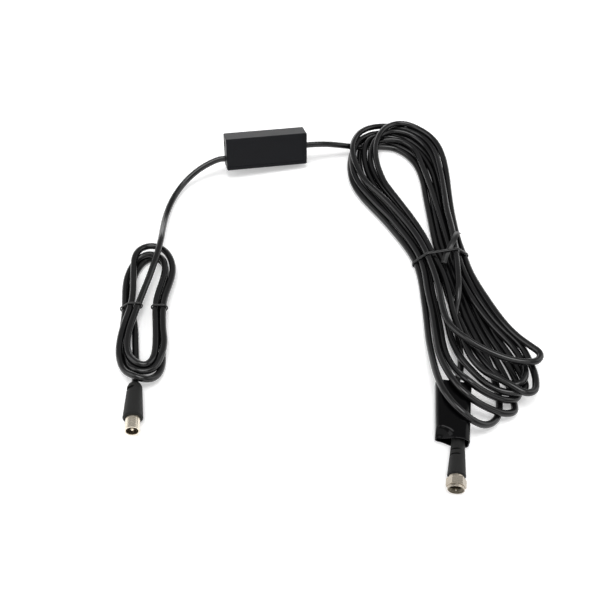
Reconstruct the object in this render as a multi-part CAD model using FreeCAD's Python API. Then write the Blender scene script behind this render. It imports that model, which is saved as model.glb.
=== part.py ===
"""Amplified aerial lead: power inserter box, two coaxial leads, TV plug and screw-on antenna plug.

Millimetres, +Z up, floor at z = 0. The inserter box stands at the origin, +X runs to its right-hand end
and +Y points away from the plugs, which lie in front of the box at the far ends of the two leads.
"""
import FreeCAD
import Part
import math
import os
from FreeCAD import Placement, Rotation, Vector

# Shared by all pieces
overshoot = 1.0              # of a cut beyond the face that it opens
arc_share = 0.45             # of the shorter run that a rounded corner takes up
pin_nose_share = 0.35        # of a contact pin's diameter that its round nose takes
touch = 1e-6

# Coaxial lead
cable_d = 4.8
core_d = 3.0                 # foamed dielectric under the braid
conductor_d = 0.9

# Inserter box, measured with the box upright on its long narrow side
box_length = 67.3
box_height = 27.0
box_depth = 16.0
box_wall = 1.6
box_edge_r = 1.0
label_rim = 2.8              # rim round the shallow recess of the front face
label_depth = 0.3
lip_height = 1.4             # locating lip of the front cover inside the rear shell
lip_root = 2.0
lip_wall = 0.7
lip_gap = 0.15
box_yaw = 13.0               # degrees, right-hand end turned away
box_lean = 17.6              # degrees, leaning back on its two stiff leads
box_roll = 3.7               # degrees, left-hand end held up by its lead

# Lead exits and power inlet, heights above the box's lower face
tv_exit_height = 7.8
antenna_exit_height = 13.5
inlet_height = 19.4
exit_gap = 0.1               # round each lead in its hole
crimp_length = 5.0
crimp_wall = 0.8
strip_length = 1.5           # sheath that shows behind the crimp
core_length = 3.0
conductor_root = 1.0         # of the conductor inside the dielectric
conductor_reach = 2.5
clamp_rib_t = 1.6
clamp_rib_width = 4.6
part_gap = 0.1               # between separate pieces inside the box

# Circuit board of the inserter and what stands on it
board_t = 1.6
board_drop = 1.0             # from the underside of the leads to the board
board_gap = 0.4              # round the board inside the walls
board_post_d = 4.0
board_peg_d = 1.8
board_peg_rise = 0.6
board_post_inset = 5.0
inlet_length = 11.0
inlet_width = 9.0
inlet_rise = 9.4
inlet_axis_rise = 5.8
inlet_bore_d = 6.0
inlet_bore_depth = 9.0
inlet_hole_d = 6.6
inlet_pin_d = 2.0
inlet_pin_setback = 0.8
choke_d = 6.4
choke_height = 6.5
choke_flange_t = 1.0
choke_core_d = 3.2
choke_winding_d = 5.6
choke_place = (6.0, 18.5)    # along the box and above its lower face
capacitor_d = 5.0
capacitor_height = 7.0
capacitor_edge_r = 0.5
capacitor_place = (17.0, 19.5)
chip_size = (2.0, 0.9, 1.25)
chip_pitch = 4.0
chip_count = 3
chip_place = (2.0, 6.0)

# TV plug: moulded boot, plated shell, insulator and centre pin, lengths from the cable end
tv_plug_heading = -85.0      # degrees from +X
tv_plug_back = (-81.4, -228.4)
tv_boot_length = 27.6
tv_boot_back_d = 10.0
tv_boot_front_d = 13.3
tv_boot_shoulder = 2.0
tv_boot_back_chamfer = 0.9
tv_boot_front_chamfer = 0.9
tv_slot_place = 4.8
tv_slot_width = 2.3
tv_slot_depth = 1.5
tv_slot_turn = 40.0          # degrees, upper slot towards the left-hand side
tv_cable_seat = 8.0
tv_shell_d = 9.5
tv_shell_root_d = 9.0        # knurled root held in the boot
tv_shell_wall = 0.5
tv_shell_seat = 10.0         # length of shell inside the boot
tv_shell_reach = 9.4         # length of shell in front of the boot
tv_shell_slit = 0.4
tv_shell_slit_turn = 40.0    # degrees, seam above the right-hand side
tv_insulator_setback = 7.5
tv_insulator_length = 8.0
tv_pin_d = 2.3
tv_pin_setback = 0.8

# Amplifier sleeve, a flattened shrink tube over a small board
sleeve_front = (124.9, -272.0)
sleeve_heading = -99.0
sleeve_length = 42.0
sleeve_width = 21.5
sleeve_corner_r = 4.0
sleeve_wall = 0.8
sleeve_lip_length = 11.0     # front stretch that sags beside the plug
sleeve_lip_sag = 2.6
sleeve_boot_gap = 1.2        # over the plug's boot
amp_board_length = 24.0
amp_board_width = 15.0
amp_board_t = 1.0
amp_board_front = 9.0        # behind the sleeve's front edge
amp_lap = 4.0                # of each lead over the board
amp_can_size = (9.0, 8.0, 3.0)
amp_can_edge_r = 0.3

# Antenna plug, lengths along its axis from the sleeve's front edge
plug_floor_gap = 0.25        # under the nut's corners
plug_offset = 3.6            # to the right of the sleeve's middle
boot_hidden = 6.0
boot_length = 24.9
boot_back_d = 8.4
boot_front_d = 11.6
boot_front_chamfer = 0.7
boot_slot_places = (7.4, 11.0)
boot_slot_width = 0.9
boot_slot_depth = 1.0
boot_slot_turn = 30.0        # degrees, upper slots towards the left-hand side
stub_seat = 8.0
post_barrel_d = 7.2
post_barrel_length = 11.0
post_collar_d = 9.4
post_collar_t = 1.4
post_neck_d = 7.1
post_flange_d = 8.6
post_flange_t = 1.3
post_bore_d = 4.0
nut_flats = 11.0
nut_length = 7.0
nut_back_t = 1.6
nut_bore_d = 9.5
nut_lip_d = 10.6
nut_lip_length = 1.6
nut_corner_chamfer = 0.5
nut_turn = 30.0              # degrees, from a corner on top to a flat on top
nut_gap = 0.1                # radial, neck in the nut
nut_end_gap = 0.3            # axial, each side of the nut's back wall
plug_pin_d = 1.0
plug_pin_reach = 0.6         # beyond the nut's mouth

# Hanks of lead, plan outlines chosen by eye, and their ties
hank_edge_r = 3.0
tv_hank_height = 9.8
tv_hank_outline = [(-103, -118), (-92, -100), (-73, -99), (-63.5, -117), (-66, -145), (-68, -166),
                   (-63.5, -192), (-65, -214), (-78, -228), (-93, -221), (-100.5, -200), (-98.5, -168),
                   (-103, -142)]
tv_hank_hole = [(-93, -119), (-85, -110), (-76, -113), (-72.5, -127), (-78.5, -150), (-80, -170),
                (-75.5, -194), (-81, -209), (-88.5, -201), (-91, -180), (-92, -150)]
antenna_hank_height = 16.0
antenna_hank_outline = [(66, 8), (77, 38), (104, 48), (134, 43), (151, 19), (154, -30), (150, -85),
                        (155, -118), (168, -154), (194, -204), (192, -234), (174, -255), (150, -267),
                        (129, -255), (113, -224), (114, -170), (111, -124), (98, -88), (70, -40)]
antenna_hank_hole = [(94, 8), (108, 17), (121, 7), (129, -20), (130.5, -60), (131, -96), (112, -62),
                     (96, -24)]
antenna_foot_gap = [(136, -184), (147, -203), (159, -227), (144, -213)]
tie_width = 2.2
tie_t = 1.1
tie_floor_gap = 0.1
tie_knot_d = 2.8
tie_knot_length = 3.0
tv_tie_place = (-83.0, -163.5)
tv_tie_heading = -3.5
tv_tie_span = 14.2           # of the loop round each side of the hank
tv_tie_reach = 9.3           # from the hank's middle to the middle of each loop
antenna_tie_place = (133.4, -114.5)
antenna_tie_heading = 9.5
antenna_tie_span = 41.6
antenna_tie_tail = (-12.0, 25.0)   # free end of the strip, before and beyond the loop
antenna_tie_tail_place = 4.5
antenna_tie_tail_turn = 57.0
sleeve_pocket_gap = 0.3      # between the sleeve and the turns that lie over it

# Routes of the leads where they are not coiled, by hand; each first pair continues an exit of the box
tv_run_points = [(-54, -17.5, 10.6), (-67, -29, 5.4), (-75.2, -46, 3.2), (-79, -64, 3.4),
                 (-79, -83, 7.2), (-78.6, -100, 12.6), (-80.6, -118, 12.6), (-83.6, -136, 9.6),
                 (-87, -153, 6.6), (-90, -167, 5.2), (-94, -179, 4.9)]
tv_tail_points = [(-95, -181, 2.5), (-89, -193, 2.5), (-84.5, -206.5, 2.7)]
antenna_run_points = [(52, 10.3, 13.4), (66, 13, 9.4), (79, 15.5, 5.4), (91, 18, 3.6)]
antenna_tail_points = [(144, -183, 4.0), (139.5, -199, 3.4), (135, -215.5, 4.8)]
exit_straight = 7.0          # straight lead outside each exit
tv_seat_straight = 7.0       # straight lead behind the TV plug
amp_seat_straight = 12.0     # straight lead behind the amplifier board

cable_r = cable_d / 2
tv_shell_bore_d = tv_shell_root_d - 2 * tv_shell_wall
nut_corner_d = nut_flats / math.cos(math.pi / 6)
plug_axis_height = nut_corner_d / 2 + plug_floor_gap
sleeve_height = plug_axis_height + boot_back_d / 2 + sleeve_boot_gap + sleeve_wall
half_length = box_length / 2
half_depth = box_depth / 2
inner_end = half_length - box_wall
board_back = -cable_r - board_drop
board_front = board_back - board_t
inlet_axis = board_back + inlet_axis_rise
crimp_d = cable_d + 2 * crimp_wall


def block(x0, x1, y0, y1, z0, z1):
    return Part.makeBox(x1 - x0, y1 - y0, z1 - z0, Vector(x0, y0, z0))


def rod(d, x0, x1, y=0.0, z=0.0):
    """Round bar of diameter d along X."""
    return Part.makeCylinder(d / 2, x1 - x0, Vector(x0, y, z), Vector(1, 0, 0))


def post(d, x, z, y0, y1):
    """Round bar of diameter d standing on the board, along Y."""
    return Part.makeCylinder(d / 2, y1 - y0, Vector(x, y0, z), Vector(0, 1, 0))


def turned(profile):
    """Solid of revolution about X from (x, diameter) points."""
    points = [Vector(x, 0, d / 2) for x, d in profile]
    points = [Vector(profile[0][0], 0, 0)] + points + [Vector(profile[-1][0], 0, 0)]
    face = Part.Face(Part.makePolygon(points + points[:1]))
    return face.revolve(Vector(0, 0, 0), Vector(1, 0, 0), 360)


def tangent_arc(before, corner, after, reach):
    """Arc that starts and ends at the given reach from a corner, tangent to both runs."""
    to_before = (before - corner).normalize()
    to_after = (after - corner).normalize()
    half = to_before.getAngle(to_after) / 2
    radius = reach * math.tan(half)
    middle = (to_before + to_after).normalize() * (reach / math.cos(half) - radius)
    arc = Part.Arc(corner + to_before * reach, corner + middle, corner + to_after * reach)
    return arc.toShape(), radius


def rounded_path(points, closed=False):
    """Straight runs joined by tangent arcs as large as their share of the shorter run allows."""
    points = [Vector(*p) for p in points]
    count = len(points)
    corners = range(count) if closed else range(1, count - 1)
    arcs = []
    radii = []
    for i in corners:
        before, corner, after = points[i - 1], points[i], points[(i + 1) % count]
        reach = arc_share * min((before - corner).Length, (after - corner).Length)
        arc, radius = tangent_arc(before, corner, after, reach)
        arcs.append(arc)
        radii.append(radius)
    stops = [(arc.valueAt(arc.FirstParameter), arc.valueAt(arc.LastParameter)) for arc in arcs]
    edges = []
    if closed:
        for i, arc in enumerate(arcs):
            edges += [Part.LineSegment(stops[i - 1][1], stops[i][0]).toShape(), arc]
    else:
        start = points[0]
        for arc, (first, last) in zip(arcs, stops):
            edges += [Part.LineSegment(start, first).toShape(), arc]
            start = last
        edges.append(Part.LineSegment(start, points[-1]).toShape())
    return Part.Wire(edges), radii


def tube(points, d, name):
    """Round tube along a route, with its arc radii and its volume against section times length."""
    path, radii = rounded_path(points)
    start = Vector(*points[0])
    circle = Part.Wire(Part.makeCircle(d / 2, start, Vector(*points[1]) - start))
    solid = path.makePipeShell([circle], True, False)
    ratio = solid.Volume / (math.pi * d * d / 4 * path.Length)
    runs = [round((Vector(*a) - Vector(*b)).Length) for a, b in zip(points, points[1:])]
    print(name, "length", round(path.Length, 1), "volume ratio", round(ratio, 4),
          "runs", runs, "radii", [round(r) for r in radii])
    return solid


def plan_face(outline, holes=()):
    """Flat face on the floor with rounded outline and holes."""
    wires = [rounded_path([(x, y, 0) for x, y in ring], closed=True)[0] for ring in (outline, *holes)]
    face = Part.Face(wires[0])
    for wire in wires[1:]:
        face = face.cut(Part.Face(wire))
    return face


def hank(outline, holes, height):
    """Closed solid of a flat hank: its plan raised to the bundle's height, with round shoulders."""
    solid = plan_face(outline, holes).Faces[0].extrude(Vector(0, 0, height))
    rims = [e for e in solid.Edges if e.BoundBox.ZLength < touch]
    return solid.makeFillet(hank_edge_r, rims)


def rounded_section(corners, r, x):
    """Closed section across X at x, from (y, z) corners with equal round corners."""
    points = [Vector(x, y, z) for y, z in corners]
    count = len(points)
    arcs = []
    for i in range(count):
        before, corner, after = points[i - 1], points[i], points[(i + 1) % count]
        half = (before - corner).getAngle(after - corner) / 2
        arcs.append(tangent_arc(before, corner, after, r / math.tan(half))[0])
    edges = []
    for i, arc in enumerate(arcs):
        last = arcs[i - 1].valueAt(arcs[i - 1].LastParameter)
        edges += [Part.LineSegment(last, arc.valueAt(arc.FirstParameter)).toShape(), arc]
    return Part.Wire(edges)


def in_frame(shape, frame):
    moved = shape.copy()
    moved.Placement = frame.multiply(moved.Placement)
    return moved


def level_frame(place, heading, z=0.0):
    """Frame with X along a level heading and Z up."""
    return Placement(Vector(place[0], place[1], z), Rotation(Vector(0, 0, 1), heading))


def tv_plug_frame():
    """Frame of the TV plug, whose tapered boot lies along the floor on its side."""
    taper = (tv_boot_front_d - tv_boot_back_d) / 2
    rise = math.degrees(math.atan(taper / (tv_boot_length - tv_boot_front_chamfer - tv_boot_shoulder)))
    lift = tv_boot_back_d / 2 / math.cos(math.radians(rise)) - tv_boot_shoulder * math.sin(math.radians(rise))
    level = level_frame(tv_plug_back, tv_plug_heading, lift)
    return level.multiply(Placement(Vector(0, 0, 0), Rotation(Vector(0, 1, 0), -rise)))


def box_block(inset, y0, y1):
    """Block inside the box's outline, inset from its ends, top and bottom."""
    return block(-half_length + inset, half_length - inset, y0, y1, inset, box_height - inset)


def exits():
    """End of the box and height of each lead's exit: TV lead on the left, antenna lead on the right."""
    return ((-1, tv_exit_height), (1, antenna_exit_height))


def along_end(side, d, near, far, y, z):
    """Round bar at one end of the box, from depth near to depth far inside the end face."""
    x0, x1 = sorted((side * (half_length - near), side * (half_length - far)))
    return rod(d, x0, x1, y, z)


def board_post_places():
    inset = box_wall + board_post_inset
    lower_right = (half_length - inset, inset)
    lower_left = (-half_length + inset + inlet_length, inset)
    upper_right = (half_length - inset, box_height - inset)
    upper_left = (-half_length + inset + inlet_length, box_height - inset)
    return (lower_right, lower_left, upper_right, upper_left)


def end_cuts():
    """What is cut from both shells and the lip at the lead exits and the power inlet."""
    cuts = []
    for side, z in exits():
        cuts.append(along_end(side, cable_d + 2 * exit_gap, -overshoot, box_wall + crimp_length, 0, z))
        cuts.append(along_end(side, crimp_d + 2 * part_gap, box_wall, box_wall + crimp_length, 0, z))
    through = box_wall + lip_wall + overshoot
    cuts.append(along_end(-1, inlet_hole_d, -overshoot, through, inlet_axis, inlet_height))
    cuts.append(inlet_block(part_gap))
    return cuts


def inlet_block(gap):
    """Outline of the power socket on the board, grown by a gap at its sides."""
    half = inlet_width / 2 + gap
    return block(-inner_end, -inner_end + inlet_length, board_back, board_back + inlet_rise + gap,
                 inlet_height - half, inlet_height + half)


def case_wall():
    """Hollow box with rounded edges, before it is parted down its middle."""
    outer = box_block(0, -half_depth, half_depth)
    outer = outer.makeFillet(box_edge_r, outer.Edges)
    return outer.cut(box_block(box_wall, -half_depth + box_wall, half_depth - box_wall))


def front_cover():
    cover = case_wall().common(box_block(-overshoot, -half_depth - overshoot, 0))
    cover = cover.cut(box_block(label_rim, -half_depth - overshoot, -half_depth + label_depth))
    lip = box_block(box_wall, -lip_root, 0).fuse(box_block(box_wall + lip_gap, 0, lip_height))
    lip = lip.cut(box_block(box_wall + lip_wall, -lip_root, lip_height))
    posts = []
    for x, z in board_post_places():
        posts.append(post(board_post_d, x, z, -half_depth + box_wall, board_front))
        posts.append(post(board_peg_d, x, z, -half_depth + box_wall, board_back + board_peg_rise))
    cover = cover.fuse([lip] + posts).removeSplitter()
    return cover.cut(end_cuts())


def rear_shell():
    shell = case_wall().common(box_block(-overshoot, 0, half_depth + overshoot)).cut(end_cuts())
    ribs = []
    for side, z in exits():
        x = side * (inner_end - crimp_length / 2)
        ribs.append(block(x - clamp_rib_t / 2, x + clamp_rib_t / 2, crimp_d / 2 + part_gap,
                          half_depth - box_wall, z - clamp_rib_width / 2, z + clamp_rib_width / 2))
    return shell.fuse(ribs).removeSplitter()


def inserter_board():
    board = box_block(box_wall + board_gap, board_front, board_back)
    holes = [post(board_peg_d + 2 * part_gap, x, z, board_front, board_back) for x, z in board_post_places()]
    return board.cut(holes)


def power_socket():
    body = inlet_block(0)
    bore = rod(inlet_bore_d, -inner_end, -inner_end + inlet_bore_depth, inlet_axis, inlet_height)
    return body.cut([bore, power_socket_pin()])


def power_socket_pin():
    tip = -inner_end + inlet_pin_setback
    pin = rod(inlet_pin_d, tip, -inner_end + inlet_length, inlet_axis, inlet_height)
    nose = [e for e in pin.Edges if e.BoundBox.XMax < tip + touch]
    return pin.makeFillet(inlet_pin_d * pin_nose_share, nose)


def choke_core():
    x, z = choke_place
    top = board_back + choke_height
    flanges = [post(choke_d, x, z, board_back, board_back + choke_flange_t),
               post(choke_d, x, z, top - choke_flange_t, top)]
    return post(choke_core_d, x, z, board_back, top).fuse(flanges).removeSplitter()


def choke_winding():
    x, z = choke_place
    low, high = board_back + choke_flange_t, board_back + choke_height - choke_flange_t
    return post(choke_winding_d, x, z, low, high).cut(post(choke_core_d, x, z, low, high))


def filter_capacitor():
    x, z = capacitor_place
    can = post(capacitor_d, x, z, board_back, board_back + capacitor_height)
    rim = [e for e in can.Edges if e.BoundBox.YMin > board_back + capacitor_height - touch]
    return can.makeFillet(capacitor_edge_r, rim)


def chip_capacitors():
    x, z = chip_place
    length, rise, width = chip_size
    chip = block(x, x + length, board_back, board_back + rise, z, z + width)
    return Part.Compound([chip.translated(Vector(i * chip_pitch, 0, 0)) for i in range(chip_count)])


def lead_crimp(side, z):
    ring = along_end(side, crimp_d, box_wall, box_wall + crimp_length, 0, z)
    return ring.cut(along_end(side, cable_d, box_wall, box_wall + crimp_length, 0, z))


def lead_core(side, z):
    """Stripped end of a lead: dielectric, and the conductor bent down to the board."""
    start = box_wall + crimp_length + strip_length
    core = along_end(side, core_d, start, start + core_length, 0, z)
    x0 = side * (half_length - start - core_length)
    x1 = x0 - side * conductor_reach
    root = Vector(x0 + side * conductor_root, 0, z)
    bend = rounded_path([root, (x1, 0, z), (x1, board_back, z)])[0]
    section = Part.Wire(Part.makeCircle(conductor_d / 2, root, Vector(-side, 0, 0)))
    return core.fuse(bend.makePipeShell([section], True, False)).removeSplitter()


def box_frame():
    """Yawed, leaning and tipped frame that puts the box's lowest corner on the floor at the origin."""
    turn = Rotation(Vector(0, 0, 1), box_yaw).multiply(Rotation(Vector(1, 0, 0), -box_lean))
    turn = turn.multiply(Rotation(Vector(0, 1, 0), box_roll))
    bounds = in_frame(case_wall(), Placement(Vector(0, 0, 0), turn)).optimalBoundingBox()
    return Placement(Vector(-bounds.Center.x, -bounds.Center.y, -bounds.ZMin), turn)


def slot_pair(boot_d, place, width, depth, turn):
    """Two slots across opposite sides of a boot, turned about its axis."""
    pair = []
    for side in (-1, 1):
        z0, z1 = sorted((side * (boot_d / 2 - depth), side * boot_d))
        slot = block(place - width / 2, place + width / 2, -boot_d, boot_d, z0, z1)
        slot.rotate(Vector(0, 0, 0), Vector(1, 0, 0), turn)
        pair.append(slot)
    return pair


def tv_plug_boot():
    back, front = tv_boot_back_d, tv_boot_front_d
    boot = turned([(0, back - 2 * tv_boot_back_chamfer), (tv_boot_shoulder, back),
                   (tv_boot_length - tv_boot_front_chamfer, front),
                   (tv_boot_length, front - 2 * tv_boot_front_chamfer)])
    cuts = [rod(cable_d, 0, tv_cable_seat), rod(tv_pin_d, tv_cable_seat, tv_boot_length),
            rod(tv_shell_root_d, tv_boot_length - tv_shell_seat, tv_boot_length)]
    return boot.cut(cuts + slot_pair(back, tv_slot_place, tv_slot_width, tv_slot_depth, tv_slot_turn))


def tv_plug_shell():
    x0, x1 = tv_boot_length - tv_shell_seat, tv_boot_length + tv_shell_reach
    shell = rod(tv_shell_root_d, x0, tv_boot_length).fuse(rod(tv_shell_d, tv_boot_length, x1))
    slit = block(tv_boot_length, x1, 0, tv_shell_d, -tv_shell_slit / 2, tv_shell_slit / 2)
    slit.rotate(Vector(0, 0, 0), Vector(1, 0, 0), tv_shell_slit_turn)
    return shell.cut([rod(tv_shell_bore_d, x0, x1), slit])


def tv_plug_insulator():
    x1 = tv_boot_length + tv_shell_reach - tv_insulator_setback
    disc = rod(tv_shell_bore_d, x1 - tv_insulator_length, x1)
    return disc.cut(rod(tv_pin_d, x1 - tv_insulator_length, x1))


def tv_plug_pin():
    tip = tv_boot_length + tv_shell_reach - tv_pin_setback
    pin = rod(tv_pin_d, tv_cable_seat, tip)
    nose = [e for e in pin.Edges if e.BoundBox.XMin > tip - touch]
    return pin.makeFillet(tv_pin_d * pin_nose_share, nose)


def sleeve_section(x, inset, sag):
    half = sleeve_width / 2 - inset
    top = sleeve_height - inset
    corners = [(-half, inset), (half, inset), (half, top), (-half, top - sag)]
    return rounded_section(corners, sleeve_corner_r - inset, x)


def sleeve_form(inset):
    stations = [(-sleeve_length, 0), (-sleeve_lip_length, 0), (0, sleeve_lip_sag)]
    return Part.makeLoft([sleeve_section(x, inset, sag) for x, sag in stations], True, True)


def amp_sleeve():
    return sleeve_form(0).cut(sleeve_form(sleeve_wall))


def amp_board():
    x1 = -amp_board_front
    top = plug_axis_height - cable_r
    half = amp_board_width / 2
    return block(x1 - amp_board_length, x1, -half, half, top - amp_board_t, top)


def amp_can():
    length, width, rise = amp_can_size
    x0 = -amp_board_front - amp_board_length / 2 - length / 2
    top = plug_axis_height - cable_r
    can = block(x0, x0 + length, -width / 2, width / 2, top, top + rise)
    return can.makeFillet(amp_can_edge_r, [e for e in can.Edges if e.BoundBox.ZMin > top + rise - touch])


def antenna_plug_boot():
    back, front = boot_back_d, boot_front_d
    boot = turned([(-boot_hidden, back), (0, back), (boot_length - boot_front_chamfer, front),
                   (boot_length, front - 2 * boot_front_chamfer)])
    cuts = [rod(cable_d, -boot_hidden, stub_seat), rod(post_bore_d, stub_seat, boot_length),
            rod(post_barrel_d, boot_length - post_barrel_length, boot_length)]
    for place in boot_slot_places:
        cuts += slot_pair(back, place, boot_slot_width, boot_slot_depth, boot_slot_turn)
    return boot.cut(cuts)


def nut_back():
    """Place of the nut's back face along the plug."""
    return boot_length + post_collar_t + nut_end_gap


def antenna_plug_post():
    collar_end = boot_length + post_collar_t
    flange = nut_back() + nut_back_t + nut_end_gap
    body = turned([(boot_length - post_barrel_length, post_barrel_d), (boot_length, post_barrel_d),
                   (boot_length, post_collar_d), (collar_end, post_collar_d), (collar_end, post_neck_d),
                   (flange, post_neck_d), (flange, post_flange_d), (flange + post_flange_t, post_flange_d)])
    return body.cut(rod(post_bore_d, boot_length - post_barrel_length, flange + post_flange_t))


def antenna_plug_nut():
    x0 = nut_back()
    x1 = x0 + nut_length
    hex_end = x1 - nut_lip_length
    corners = [Vector(x0, nut_corner_d / 2 * math.sin(a), nut_corner_d / 2 * math.cos(a))
               for a in [math.radians(nut_turn + 60 * i) for i in range(7)]]
    hexagon = Part.Face(Part.makePolygon(corners)).extrude(Vector(hex_end - x0, 0, 0))
    end_d = nut_corner_d - 2 * nut_corner_chamfer
    rounding = turned([(x0, end_d), (x0 + nut_corner_chamfer, nut_corner_d),
                       (hex_end - nut_corner_chamfer, nut_corner_d), (hex_end, end_d)])
    nut = hexagon.common(rounding).fuse(rod(nut_lip_d, x0 + nut_back_t, x1)).removeSplitter()
    return nut.cut([rod(post_neck_d + 2 * nut_gap, x0, x1), rod(nut_bore_d, x0 + nut_back_t, x1)])


def antenna_plug_insulator():
    face = nut_back() + nut_back_t + nut_end_gap + post_flange_t
    return rod(post_bore_d, stub_seat, face).cut(rod(plug_pin_d, stub_seat, face))


def antenna_plug_pin():
    tip = nut_back() + nut_length + plug_pin_reach
    pin = rod(plug_pin_d, stub_seat, tip)
    nose = [e for e in pin.Edges if e.BoundBox.XMin > tip - touch]
    return pin.makeFillet(plug_pin_d * pin_nose_share, nose)


def antenna_plug_stub():
    """Short lead from the amplifier board into the plug's boot."""
    return rod(cable_d, -amp_board_front - amp_lap, stub_seat)


def tie_loop(width, height):
    """Flat strip closed round a bundle, in a frame with X across the bundle and Z up."""
    outer = block(-width / 2, width / 2, -tie_width / 2, tie_width / 2, tie_floor_gap, height)
    outer = outer.makeFillet(hank_edge_r, [e for e in outer.Edges if e.BoundBox.YLength > tie_width / 2])
    inner = block(-width / 2 + tie_t, width / 2 - tie_t, -tie_width / 2, tie_width / 2,
                  tie_floor_gap + tie_t, height - tie_t)
    return outer.cut(inner.makeFillet(hank_edge_r - tie_t,
                                      [e for e in inner.Edges if e.BoundBox.YLength > tie_width / 2]))


def tie(span, height, knot_side):
    """Twist tie: the loop and its twisted knot at one side."""
    x0, x1 = sorted((knot_side * (span / 2 - tie_t / 2), knot_side * (span / 2 + tie_knot_length)))
    return tie_loop(span, height).fuse(rod(tie_knot_d, x0, x1, 0, height / 2)).removeSplitter()


def tv_tie():
    """Tie of the short lead: a loop round the strands on each side of the hank."""
    loops = []
    for side in (-1, 1):
        loop = tie(tv_tie_span, tv_hank_height, side)
        loops.append(loop.translated(Vector(side * tv_tie_reach, 0, 0)))
    return Part.Compound(loops)


def antenna_tie():
    """Tie of the long lead, with the free end of its strip lying slantwise on the turns."""
    top = antenna_hank_height
    tail = block(*antenna_tie_tail, -tie_width / 2, tie_width / 2, top - tie_t / 2, top + tie_t / 2)
    tail.rotate(Vector(0, 0, 0), Vector(0, 0, 1), antenna_tie_tail_turn)
    tail.translate(Vector(antenna_tie_tail_place, 0, 0))
    return tie(antenna_tie_span, top, 1).fuse(tail).removeSplitter()


def world(frame, x, y, z):
    p = frame.multVec(Vector(x, y, z))
    return (p.x, p.y, p.z)


def build():
    box = box_frame()
    tv_plug = tv_plug_frame()
    sleeve = level_frame(sleeve_front, sleeve_heading)
    plug = sleeve.multiply(Placement(Vector(0, plug_offset, plug_axis_height), Rotation()))

    cable_end = half_length - box_wall - crimp_length - strip_length
    tv_start = [world(box, -x, 0, tv_exit_height) for x in (cable_end, half_length + exit_straight)]
    antenna_start = [world(box, x, 0, antenna_exit_height) for x in (cable_end, half_length + exit_straight)]
    tv_end = [world(tv_plug, x, 0, 0) for x in (-tv_seat_straight, tv_cable_seat)]
    amp_end = -amp_board_front - amp_board_length + amp_lap
    antenna_end = [world(sleeve, amp_end - amp_seat_straight, 0, plug_axis_height),
                   world(sleeve, amp_end, 0, plug_axis_height)]

    in_box = {
        "front_cover": front_cover(), "rear_shell": rear_shell(), "inserter_board": inserter_board(),
        "power_socket": power_socket(), "power_socket_pin": power_socket_pin(),
        "choke_core": choke_core(), "choke_winding": choke_winding(),
        "filter_capacitor": filter_capacitor(), "chip_capacitors": chip_capacitors(),
        "tv_lead_crimp": lead_crimp(-1, tv_exit_height), "tv_lead_core": lead_core(-1, tv_exit_height),
        "antenna_lead_crimp": lead_crimp(1, antenna_exit_height),
        "antenna_lead_core": lead_core(1, antenna_exit_height),
    }
    in_tv_plug = {
        "tv_plug_boot": tv_plug_boot(), "tv_plug_shell": tv_plug_shell(),
        "tv_plug_insulator": tv_plug_insulator(), "tv_plug_pin": tv_plug_pin(),
    }
    in_sleeve = {"amp_sleeve": amp_sleeve(), "amp_board": amp_board(), "amp_can": amp_can()}
    in_plug = {
        "antenna_plug_boot": antenna_plug_boot(), "antenna_plug_post": antenna_plug_post(),
        "antenna_plug_nut": antenna_plug_nut(), "antenna_plug_insulator": antenna_plug_insulator(),
        "antenna_plug_pin": antenna_plug_pin(), "antenna_plug_stub": antenna_plug_stub(),
    }
    parts = {}
    for frame, group in ((box, in_box), (tv_plug, in_tv_plug), (sleeve, in_sleeve), (plug, in_plug)):
        for name, shape in group.items():
            parts[name] = in_frame(shape, frame)

    parts["tv_lead_run"] = tube(tv_start + tv_run_points, cable_d, "tv_lead_run")
    parts["tv_lead_tail"] = tube(tv_tail_points + tv_end, cable_d, "tv_lead_tail")
    parts["antenna_lead_run"] = tube(antenna_start + antenna_run_points, cable_d, "antenna_lead_run")
    parts["antenna_lead_tail"] = tube(antenna_tail_points + antenna_end, cable_d, "antenna_lead_tail")

    parts["tv_lead_tie"] = in_frame(tv_tie(), level_frame(tv_tie_place, tv_tie_heading))
    parts["antenna_lead_tie"] = in_frame(antenna_tie(), level_frame(antenna_tie_place, antenna_tie_heading))
    tv_turns = hank(tv_hank_outline, [tv_hank_hole], tv_hank_height)
    parts["tv_lead_hank"] = tv_turns.cut([parts[n] for n in ("tv_lead_run", "tv_lead_tail", "tv_lead_tie")])
    antenna_turns = hank(antenna_hank_outline, [antenna_hank_hole, antenna_foot_gap], antenna_hank_height)
    pocket = in_frame(sleeve_form(-sleeve_pocket_gap), sleeve)
    parts["antenna_lead_hank"] = antenna_turns.cut(
        [parts[n] for n in ("antenna_lead_run", "antenna_lead_tail", "antenna_lead_tie")] + [pocket])
    return parts


def main():
    os.makedirs("parts", exist_ok=True)
    for name, shape in build().items():
        print(name, "solids", len(shape.Solids), "valid", shape.isValid(), "volume", round(shape.Volume, 1))
        shape.exportStep(os.path.join("parts", name + ".step"))


main()
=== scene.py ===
import math

import bpy
import numpy as np
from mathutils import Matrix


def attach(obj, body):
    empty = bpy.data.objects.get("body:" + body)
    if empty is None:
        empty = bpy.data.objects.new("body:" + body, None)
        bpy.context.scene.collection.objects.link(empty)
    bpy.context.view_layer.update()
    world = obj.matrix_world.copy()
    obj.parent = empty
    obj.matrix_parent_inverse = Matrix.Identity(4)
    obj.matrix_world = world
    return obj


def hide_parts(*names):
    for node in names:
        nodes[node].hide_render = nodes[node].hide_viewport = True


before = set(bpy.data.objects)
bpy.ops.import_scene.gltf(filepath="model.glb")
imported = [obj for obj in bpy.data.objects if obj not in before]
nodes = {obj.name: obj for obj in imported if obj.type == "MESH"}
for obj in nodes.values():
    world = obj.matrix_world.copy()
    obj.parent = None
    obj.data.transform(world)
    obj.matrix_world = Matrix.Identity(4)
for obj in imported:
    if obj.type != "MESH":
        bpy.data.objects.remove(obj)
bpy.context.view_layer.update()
mm = 0.001
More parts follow.
